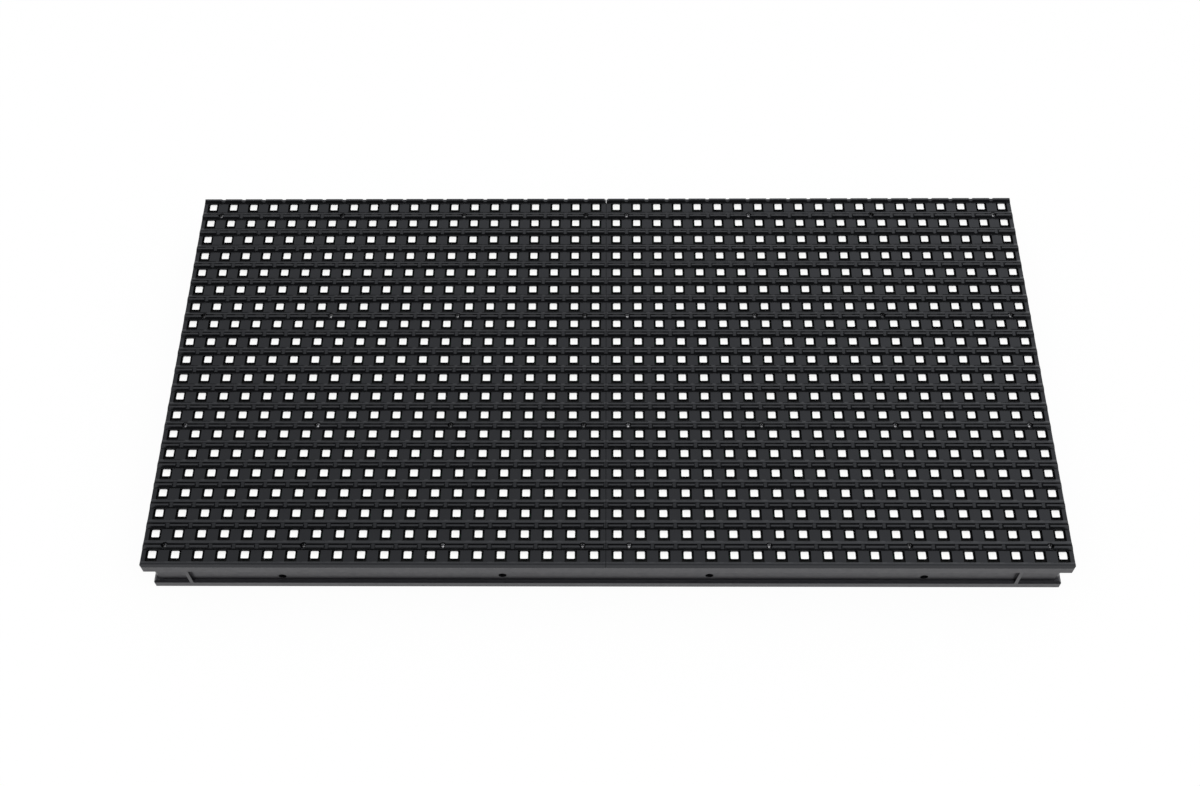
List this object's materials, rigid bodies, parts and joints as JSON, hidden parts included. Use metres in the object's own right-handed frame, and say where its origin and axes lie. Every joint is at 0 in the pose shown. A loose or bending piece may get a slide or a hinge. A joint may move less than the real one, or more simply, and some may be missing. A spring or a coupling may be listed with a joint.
{
  "type": "led display module",
  "caption": "Flat rectangular LED display module: square LEDs behind a split louvred mask, on a sealed board in a moulded rear case with gasket, threaded inserts and plug headers.",
  "frame": {"origin": "middle of the module's rear plane, on which it lies", "axes": "+X along the long side, +Y to the upper edge of the picture, +Z out of the lit face"},
  "size_m": [0.3194, 0.1598, 0.0195],
  "materials": {
    "mask_plastic": "fine-textured black",
    "screw_steel": "black oxide",
    "led_white": "smooth white",
    "seal": "satin black",
    "board": "solder resist",
    "case_plastic": "satin black",
    "gasket_rubber": "matt black",
    "insert_brass": "turned",
    "data_plastic": "moulded black",
    "data_pin_metal": "gold plated",
    "power_plastic": "moulded ivory",
    "power_pin_metal": "tinned",
    "chip_plastic": "moulded black",
    "can_metal": "bright drawn",
    "ceramic": "fired tan",
    "resistor": "glazed black"
  },
  "bodies": {
    "root": {"mask_left": "mask_plastic", "mask_right": "mask_plastic", "mask_screws": "screw_steel", "led_row_01": "led_white", "led_row_02": "led_white", "led_row_03": "led_white", "led_row_04": "led_white", "led_row_05": "led_white", "led_row_06": "led_white", "led_row_07": "led_white", "led_row_08": "led_white", "led_row_09": "led_white", "led_row_10": "led_white", "led_row_11": "led_white", "led_row_12": "led_white", "led_row_13": "led_white", "led_row_14": "led_white", "led_row_15": "led_white", "led_row_16": "led_white", "led_row_17": "led_white", "led_row_18": "led_white", "led_row_19": "led_white", "led_row_20": "led_white", "potting_seal": "seal", "pcb": "board", "rear_case": "case_plastic", "rear_gasket": "gasket_rubber", "mount_inserts": "insert_brass", "data_in_header": "data_plastic", "data_out_header": "data_plastic", "data_in_pins": "data_pin_metal", "data_out_pins": "data_pin_metal", "power_header": "power_plastic", "power_pins": "power_pin_metal", "led_driver_chips": "chip_plastic", "row_driver_chips": "chip_plastic", "buffer_chips": "chip_plastic", "decoder_chip": "chip_plastic", "bulk_capacitors": "can_metal", "ceramic_capacitors": "ceramic", "resistors": "resistor"}
  },
  "joints": []
}
